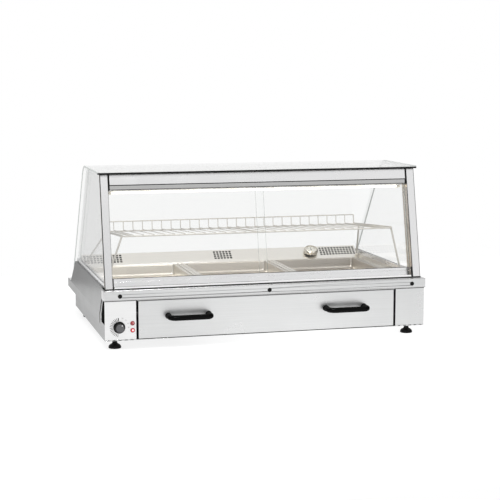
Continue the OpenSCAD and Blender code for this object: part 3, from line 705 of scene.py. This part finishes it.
def make_front_shadow_strips():
    # Dark strips standing in for shade: painted shadow lines down both edges of each upright, under the
    # header's step and along its bottom edge, along the front rail's top edge and in the gap under the
    # rail's ends.
    half = FRAME_IN - 6.1
    leaning = [
        strip_z(2, FRAME_TOP, (-FRAME_OUT - 0.3, -0.35), (-FRAME_OUT + 2.5, 1)),
        strip_z(2, FRAME_TOP, (FRAME_OUT - 1.3, -0.35), (FRAME_OUT + 0.3, 1)),
        strip_z(2, HEADER_LOW, (-FRAME_IN - 0.2, -0.2), (-FRAME_IN + 0.7, 4)),
        strip_z(2, HEADER_LOW, (FRAME_IN - 0.7, -0.2), (FRAME_IN + 0.2, 4)),
        strip_x(-half, half, (3.4, HEADER_STEP - 2.3), (4.2, HEADER_STEP)),
        strip_x(-half, half, (3.4, HEADER_LOW), (4.2, HEADER_LOW + 2.2))]
    level = [
        strip_x(-FRAME_OUT - 1, -FRAME_IN, (21.3, 197.05), (26, 200.4)),
        strip_x(FRAME_IN, FRAME_OUT + 1, (21.3, 197.05), (26, 200.4)),
        strip_x(-half, half, (22.6, 197.05), (24, 200.2)),
        strip_x(-550, -447, (-0.6, 163.2), (0.2, 166)),
        strip_x(447, 550, (-0.6, 163.2), (0.2, 166))]
    shape = joined(*[moved(strip, ON_FRONT) for strip in leaning], *level)
    add_piece("front_shadow_strips", shape, "seal_rubber", "case", (), None, 20)
    # A darker band of alloy on the header's lower face: painted shade.
    band = strip_x(-half, half, (3.5, HEADER_LOW + 2.2), (4.2, HEADER_STEP - 2.3))
    add_piece("header_shade_band", band, "alloy_painted_shade", "case", (), ON_FRONT, 20)
    # The sill's lip in the lighter alloy: a painted highlight.
    add_piece("sill_lip_highlight", strip_x(-half, half, (1.75, 3.4), (2.2, 9.3)), "alloy_painted_highlight", "case", (),
        ON_FRONT, 20)
    # A grey strip behind the gap over the drawer's top: painted shade.
    gap_shade = strip_x(-444, 444, (3, 161.6), (5, 165.6))
    add_piece("drawer_gap_shade_strip", gap_shade, "gap_shade_grey", "case", (), None, 20)


def make_door_seals_and_shadow_lines():
    for side, (x0, x1, y) in DOOR_SPANS.items():
        # The upper strip is the pane's seal on the door rail; the lower strip is a painted shadow line
        # along the rail's bottom edge.
        dark_strips = joined(
            strip_x(x0 + 0.5, x1 - 0.5, (y - 0.3, 36.4), (y + 3.3, 38.3)),
            strip_x(x0 + 0.5, x1 - 0.5, (y - 0.35, 8.9), (y + 0.3, 10.7)))
        add_piece(f"door_{side}_seals", dark_strips, "seal_rubber", f"door_{side}", (), ON_FRONT, 20)


SKIRT_FRONT = [(548.6, 196), (559.8, 119), (559.8, 89.5)]  # a skirt's outer face, as X and Z


def skirt_strip(inset, width, y0, y1):
    """A strip down the sloping front end of both side skirts."""
    shapes = []
    for side in (-1, 1):
        rings = []
        for x, z in SKIRT_FRONT:
            x0, x1 = side * (x - inset), side * (x - inset - width)
            rings.append([(x0, y0, z), (x1, y0, z), (x1, y1, z), (x0, y1, z)])
        shapes.append(loft(rings))
    return joined(*shapes)


def make_fold_and_rail_shading():
    """The turned front ends of the skirts and the rolled edges of the front rail, with painted
    highlights on the skirts' folds, painted shadow lines at their outer corners and painted shade bands
    along the rail.
    """
    # The fronts of the skirts' turned ends in the lighter alloy: a painted highlight.
    folds = skirt_strip(2.4, 3.6, 43.2, 43.9)
    add_piece("skirt_end_fold_highlights", folds, "alloy_painted_highlight", "case", (), None, 20)
    # A dark strip at the outer corner of each skirt's end: a painted shadow line.
    dark_strips = skirt_strip(0.1, 2.2, 43.0, 43.9)
    add_piece("skirt_end_shadow_lines", dark_strips, "seal_rubber", "case", (), None, 20)
    # Darker bands along the front rail's lower and upper edges: painted shade.
    shade_bands = joined(
        strip_x(-552.6, 552.6, (-5.25, 166.1), (-4.9, 169.0)),
        strip_x(-552.6, 552.6, (-5.15, 194.9), (-4.9, 196.8)))
    add_piece("rail_shade_bands", shade_bands, "alloy_painted_shade", "case", (), None, 20)


make_front_shadow_strips()
make_door_seals_and_shadow_lines()
make_fold_and_rail_shading()


# ---------------------------------------------------------------- bent glass ends

BEND_Y = 387.6  # the middle of the bend
BEND_Z = 504
BEND_R = 70  # to the outer face
GLASS_SLOPE = math.radians(35.8)
GLASS_FRONT_Y = 95.0
GLASS_FOOT_Z = 124
GLASS_THICK = 6
BAND_GAP = 0.15  # how far a band stands off the face it runs along
BAND_X = (552.1, 550.0)


def glass_path(r, steps=16):
    """Points along the bent glass at radius r, from its front edge over the bend to its foot."""
    points = [(GLASS_FRONT_Y, BEND_Z + r), (BEND_Y * 0.5, BEND_Z + r)]
    for i in range(steps + 1):
        a = math.pi / 2 - (math.pi / 2 - GLASS_SLOPE) * i / steps
        points.append((BEND_Y + r * math.cos(a), BEND_Z + r * math.sin(a)))
    y, z = points[-1]
    points.append((y + (z - GLASS_FOOT_Z) * math.tan(GLASS_SLOPE), GLASS_FOOT_Z))
    return points


def make_glass_ends():
    """The dark line seen where light is caught in each cut end of the bent glass."""
    outer = glass_path(BEND_R + BAND_GAP)
    inner = glass_path(BEND_R - GLASS_THICK - BAND_GAP)
    bands = []
    for side in (-1, 1):
        for path in (outer, inner):
            rings = [[(side * x, y, z) for x in BAND_X] for y, z in path]
            points = [p for ring in rings for p in ring]
            faces = [(2 * i, 2 * i + 1, 2 * i + 3, 2 * i + 2) for i in range(len(rings) - 1)]
            bands.append((points, faces))
    add_piece("glass_end_bands", joined(*bands), "edge_tint", "case", (), None, 60)


make_glass_ends()


# ---------------------------------------------------------------- feet

FOOT_X = {"left": -509, "right": 509}
FOOT_Y = {"front": 56, "rear": 634}
THREAD_PITCH = 1.4
THREAD_START = 23.5
PAD = [
    (18.5, 0), (20.6, 0.8), (21, 2.5), (20.8, 6), (19.4, 9), (16.5, 12), (12.5, 14.4), (9.6, 16.2),
    (8.4, 18.5), (8.1, 22), (7.2, 23.6), (5.2, 24)]


def threaded_stem():
    profile = []
    for i in range(52):
        z = THREAD_START + i * THREAD_PITCH / 2
        profile.append((4.45 if i % 2 else 4.95, z))
    return lathe(profile, 24)


def hex_nut(low, high, flat_r):
    def ring(r, z):
        corners = [math.radians(60 * i) for i in range(6)]
        return [(r * math.cos(a), r * math.sin(a), z) for a in corners]
    r = flat_r / math.cos(math.radians(30))
    return loft([ring(r * 0.93, low), ring(r, low + 0.8), ring(r, high - 0.8), ring(r * 0.93, high)])


def make_feet():
    for across, x in FOOT_X.items():
        for along, y in FOOT_Y.items():
            name = f"foot_{along}_{across}"
            place = shifted(x, y, 0)
            add_piece(f"{name}_pad", lathe(PAD), "black_plastic", name, [name], place)
            add_piece(f"{name}_stem", threaded_stem(), "plated_steel", name, (), place)
            add_piece(f"{name}_nut", hex_nut(26, 32.5, 7.5), "plated_steel", name, (), place, 20)


make_feet()


# ---------------------------------------------------------------- food pans

DECK_TOP = 186
PAN_MIDDLE_Y = 344
PAN_PITCH = 348
PAN_W = 325
PAN_D = 530
SHEET = 0.0008  # the sheet's thickness, in metres
# Inset from the rim's outer edge, height above the deck and corner radius of each ring
PAN_RINGS = [
    (0.2, 0.2, 10), (0, 1.0, 10), (0.4, 1.7, 10), (1.4, 2.0, 10), (8.4, 2.0, 11), (9.8, 1.7, 11),
    (10.8, 0.6, 9), (11.3, -1.2, 8), (12.4, -27.0, 8), (13.2, -31.5, 11), (15.2, -35.0, 12),
    (18.4, -36.9, 14), (22.5, -37.4, 16), (50, -37.3, 18), (100, -37.0, 20), (140, -36.9, 20)]


def make_pan(name, x, material):
    rings = [
        rounded_box_ring(PAN_W - 2 * inset, PAN_D - 2 * inset, r, z) for inset, z, r in PAN_RINGS]
    pan = add_piece(f"{name}_shell", loft(rings, close_start=False), material, name, [name],
        shifted(x, PAN_MIDDLE_Y, DECK_TOP), 50)
    skin = pan.modifiers.new("sheet", "SOLIDIFY")
    skin.thickness = SHEET
    skin.offset = -1


# The left pan gets the painted light copy of the steel and the right pan the painted shade copy.
make_pan("pan_left", -PAN_PITCH, "pan_steel_painted_light")
make_pan("pan_middle", 0, "pan_steel")
make_pan("pan_right", PAN_PITCH, "pan_steel_painted_shade")


# ---------------------------------------------------------------- wire shelf

SHELF_X = 7.5
ON_SHELF = shifted(SHELF_X, 136, 360) @ turned(-4.4, "X")
SHELF_W = 945
SHELF_D = 395
FENCE_H = 31
WIRES = 28
WIRE_R = 1.5
FENCE_R = 2.0
RIM_R = 2.5
RIM_Z = -4
LEG_R = 3.2
LEG_FOOT_X = 524
LEG_REAR_Y = 618
TIP_CLEAR = 4.3  # from the middle of a leg's tip to the vent panel
VENT_FOOT_Y = 611  # where the vent panel rises from the deck
VENT_SLOPE = 36  # degrees


def make_shelf():
    wires = []
    for i in range(WIRES):
        x = -SHELF_W / 2 + i * SHELF_W / (WIRES - 1)
        corners = [(x, -4.2, -6.0), (x, -4.2, 0), (x, SHELF_D, 0), (x, SHELF_D, FENCE_H)]
        wires.append(tube(rounded_path(corners, 5.5, 4), WIRE_R, 8))
    add_piece("shelf_wires", joined(*wires), "coated_wire", "shelf", ["shelf_floor_wires"], ON_SHELF)
    half = SHELF_W / 2
    y = SHELF_D + 0.5
    top = [(-half, y, -2), (-half, y, FENCE_H), (half, y, FENCE_H), (half, y, -2)]
    add_piece("shelf_fence_rail", tube(rounded_path(top, 6), FENCE_R, 12), "coated_wire", "shelf",
        ["shelf_fence"], ON_SHELF)
    outline = rounded_box_ring(SHELF_W, SHELF_D, 9, RIM_Z)
    rim = [Vector((x, y + SHELF_D / 2, z)) for x, y, z in outline]
    loop = tube(rim + rim[:2], RIM_R, 12, round_end=False)
    bars = [tube([(x, -4, RIM_Z), (x, SHELF_D, RIM_Z)], RIM_R, 12) for x in (-half + 32, 0, half - 32)]
    add_piece("shelf_rim", joined(loop, *bars), "coated_wire", "shelf", ["shelf_frame"], ON_SHELF)


def make_legs():
    """Two legs at the front that stand on the deck and two at the rear on the vent panel."""
    legs = []
    tips = []
    slope = math.radians(VENT_SLOPE)
    rear_z = DECK_TOP + (LEG_REAR_Y - VENT_FOOT_Y) * math.tan(slope) + TIP_CLEAR / math.cos(slope)
    for side in (-1, 1):
        top_x = SHELF_X + side * (SHELF_W / 2 + 2)
        for tip, top in (
            ((side * LEG_FOOT_X, 150, DECK_TOP + TIP_CLEAR), (top_x, 144, 355)),
            ((side * LEG_FOOT_X, LEG_REAR_Y, rear_z), (top_x, 476, 330)),
        ):
            end = (top_x - side, top[1] + 24, top[2] - 1.8)
            legs.append(tube(rounded_path([tip, top, end], 8), LEG_R, 12))
            aim_up = (Vector(top) - Vector(tip)).to_track_quat("Z", "Y").to_matrix().to_4x4()
            cap = [(1.5, -3.9), (3.2, -3.2), (4.0, -1.2), (4.0, 7.0), (3.7, 8.2), (3.1, 8.4)]
            tips.append(moved(lathe(cap, 24), shifted(*tip) @ aim_up))
    add_piece("shelf_leg_wires", joined(*legs), "coated_wire", "shelf", ["shelf_legs"])
    add_piece("shelf_leg_tips", joined(*tips), "lamp_plastic", "shelf")


make_shelf()
make_legs()


# ---------------------------------------------------------------- thermometer and vents

ON_VENT = shifted(0, VENT_FOOT_Y, DECK_TOP) @ turned(VENT_SLOPE, "X")
ON_DIAL = shifted(345, 634.8, 210.9) @ turned(24, "X")  # up the axis of the thermometer
VENT_BLOCKS = ((-527, -378), (-38, 38), (378, 527))


def make_thermometer():
    stem = lathe([(4.4, -13.8), (4.4, 0.2), (3.0, 0.4)], 32)
    wall = lathe([
        (20, 0.1), (25.8, 0.2), (26.9, 0.8), (27.3, 2.2), (27.4, 7.6), (27.1, 9.2), (26.2, 11.2),
        (24.6, 13.2), (23.0, 14.4), (21.8, 14.9), (20.9, 14.7), (20.4, 13.6), (20.3, 9.2)], 72)
    add_piece("thermometer_shell", joined(stem, wall), "chrome_case", "case",
        ["thermometer_case"], ON_DIAL)
    face = lathe([(20.2, 9.2), (20.2, 9.9), (18, 10.0), (0.02, 10.0)], 64)
    add_piece("thermometer_face", face, "dial_white", "case", ["thermometer_dial"], ON_DIAL)
    marks = []
    for i in range(28):
        length = 3.4 if i % 3 == 0 else 1.7
        tick = bar((18.6 - length, -0.35, 10.02), (18.6, 0.35, 10.08))
        marks.append(moved(tick, turned(225 - i * 10, "Z")))
    for i, text in enumerate(("0", "30", "60", "90", "120")):
        a = math.radians(215 - i * 62.5)
        marks.append(moved(numeral(text, 5.0), shifted(11.2 * math.cos(a), 11.2 * math.sin(a), 10.06)))
    add_piece("thermometer_marks", joined(*marks), "needle_black", "case", (), ON_DIAL)
    needle = loft([
        [(-0.9, -5.5, 10.7), (0.9, -5.5, 10.7), (0.9, -5.5, 11.3), (-0.9, -5.5, 11.3)],
        [(-0.7, 0, 10.7), (0.7, 0, 10.7), (0.7, 0, 11.4), (-0.7, 0, 11.4)],
        [(-0.15, 16, 10.7), (0.15, 16, 10.7), (0.15, 16, 11.1), (-0.15, 16, 11.1)]])
    hub = lathe([(2.3, 10.5), (2.3, 11.5), (1.8, 11.8), (0.02, 11.9)], 28)
    add_piece("thermometer_pointer", joined(needle, hub), "needle_black", "needle",
        ["thermometer_needle"], ON_DIAL)
    dome = [(20.4, 12.6), (20.4, 13.1), (16, 13.6), (9, 14.0), (0.02, 14.1)]
    add_piece("thermometer_window", lathe(dome, 48), "lens_glass", "case",
        ["thermometer_lens"], ON_DIAL)


def make_vent_shade_trays():
    """Shallow black trays behind the three blocks of holes: painted shade for the dark seen through
    them.
    """
    trays = []
    for x0, x1 in VENT_BLOCKS:
        rings = [
            [(x0, 16, z), (x1, 16, z), (x1, top, z), (x0, top, z)]
            for top, z in ((63, -1.6), (62, -4.2))]
        trays.append(loft(rings, close_start=False))
    add_piece("vent_shade_trays", joined(*trays), "vent_shade_black", "case", (), ON_VENT, 20)


make_thermometer()
make_vent_shade_trays()


# ---------------------------------------------------------------- rear fittings

REAR_Y = 690
REAR_SCREW_X = (-500, 0, 500)
REAR_SCREW_Z = (50, 160)


def make_rear_screws():
    head = [
        (2.0, -1.4), (2.0, 0), (3.9, 0.02), (4.0, 0.7), (3.4, 1.6), (2.2, 2.2), (1.3, 2.3), (0.9, 1.2)]
    places = [shifted(x, REAR_Y, z) @ TO_CUSTOMER for x in REAR_SCREW_X for z in REAR_SCREW_Z]
    shapes = [moved(lathe(head, 28), place) for place in places]
    add_piece("panel_screws", joined(*shapes), "plated_steel", "case", ["rear_screws"])


def make_gland():
    """A ribbed gland, open right through for the cord."""
    barrel = [
        (4.25, -14), (7.8, -14), (8, -13.4), (8, 0), (11.5, 0.05), (11.8, 0.8), (11.8, 5.2), (11.2, 6),
        (9.3, 6.2), (9.5, 7.0), (9.5, 14.5), (8.4, 17.2), (6.6, 18), (4.25, 17.9)]
    steps = 72
    points, faces = lathe(barrel, steps, 18, 0.5, 6.5)
    last = (len(barrel) - 1) * steps
    faces = faces[:-2]  # the two end caps give way to the wall of the bore
    for k in range(steps):
        j = (k + 1) % steps
        faces.append((last + j, last + k, k, j))
    add_piece("gland_body", (points, faces), "black_plastic", "case", ["cable_gland"],
        shifted(480, REAR_Y, 70) @ TO_CUSTOMER)


make_rear_screws()
make_gland()


# ---------------------------------------------------------------- stage

FLOOR_LOW = (-1.7, -2.0)
FLOOR_HIGH = (1.7, 1.3)
PATCH_LEFT = -0.30
PATCH_MIDDLE = 0.22
PATCH_RIGHT = 0.70


def make_floor():
    """White to the camera throughout, with a brighter patch that the front steel mirrors."""
    mesh = bpy.data.meshes.new("floor")
    (x0, y0), (x1, y1) = FLOOR_LOW, FLOOR_HIGH
    corners = [(x0, y0, 0), (x1, y0, 0), (x1, y1, 0), (x0, y1, 0)]
    mesh.from_pydata(corners, [], [(0, 1, 2, 3)])
    floor = bpy.data.objects.new("floor", mesh)
    bpy.context.scene.collection.objects.link(floor)
    material, tree, shader = new_material("floor")
    shader.inputs["Base Color"].default_value = (0.30, 0.30, 0.30, 1)
    shader.inputs["Roughness"].default_value = 0.9
    shader.inputs["Specular IOR Level"].default_value = 0.0
    shader.inputs["Emission Color"].default_value = (1, 1, 1, 1)
    coords = tree.nodes.new("ShaderNodeTexCoord")
    parts = tree.nodes.new("ShaderNodeSeparateXYZ")
    link(tree, coords.outputs["Object"], parts.inputs["Vector"])
    rise = remap(tree, parts.outputs["X"], 0.0, 1.0, PATCH_LEFT, PATCH_MIDDLE)
    fall = remap(tree, parts.outputs["X"], 1.0, 0.0, PATCH_MIDDLE, PATCH_RIGHT)
    patch = arithmetic(tree, "MULTIPLY", rise, fall)
    link(tree, blend(tree, patch, 0.75, 1.0), shader.inputs["Emission Strength"])
    mesh.materials.append(material)


def area_light(name, place, target, size, power, colour=(1, 1, 1)):
    """A rectangular light aimed at target, with its power in watts."""
    data = bpy.data.lights.new(name, "AREA")
    data.shape = "RECTANGLE"
    data.size, data.size_y = size
    data.energy = power
    data.color = colour
    light = bpy.data.objects.new(name, data)
    bpy.context.scene.collection.objects.link(light)
    light.location = place
    aim(light, Vector(target) - Vector(place))


def make_world():
    """White all round for the camera. In reflections the left is greyer, a little more so
    behind, the far right is dark and straight up is nearly white."""
    world = bpy.data.worlds.new("studio")
    bpy.context.scene.world = world
    world.use_nodes = True
    tree = world.node_tree
    background = tree.nodes["Background"]
    coords = tree.nodes.new("ShaderNodeTexCoord")
    parts = tree.nodes.new("ShaderNodeSeparateXYZ")
    link(tree, coords.outputs["Generated"], parts.inputs["Vector"])
    back = remap(tree, parts.outputs["X"], 0.60, 0.90, -0.25, 0.12)
    front = remap(tree, parts.outputs["X"], 0.66, 1.05, 0.08, 0.42)
    to_back = remap(tree, parts.outputs["Y"], 0.0, 1.0, -0.2, 0.3)
    to_right = remap(tree, parts.outputs["X"], 0.0, 1.0, 0.52, 0.75)
    walls = blend(tree, to_right, blend(tree, to_back, front, back), 0.20)
    above = remap(tree, parts.outputs["Z"], 0.0, 1.0, 0.45, 0.95)
    studio = blend(tree, above, walls, 0.98)
    path = tree.nodes.new("ShaderNodeLightPath")
    strength = blend(tree, path.outputs["Is Glossy Ray"], 1.0, studio)
    background.inputs["Color"].default_value = (1, 1, 1, 1)
    link(tree, strength, background.inputs["Strength"])


make_floor()
make_world()
area_light("key", (-1.6, -3.0, 3.0), (0, 0, 0.2), (2.4, 2.4), 30)
area_light("edge", (-0.7, -2.3, 2.6), (0, -0.4, 0.1), (1.8, 0.2), 45)
area_light("heat_lamp", case(0, 170, 490), case(0, 330, 180), (0.95, 0.03), 0.35, (1.0, 0.88, 0.72))
bpy.context.scene.view_settings.view_transform = "Standard"
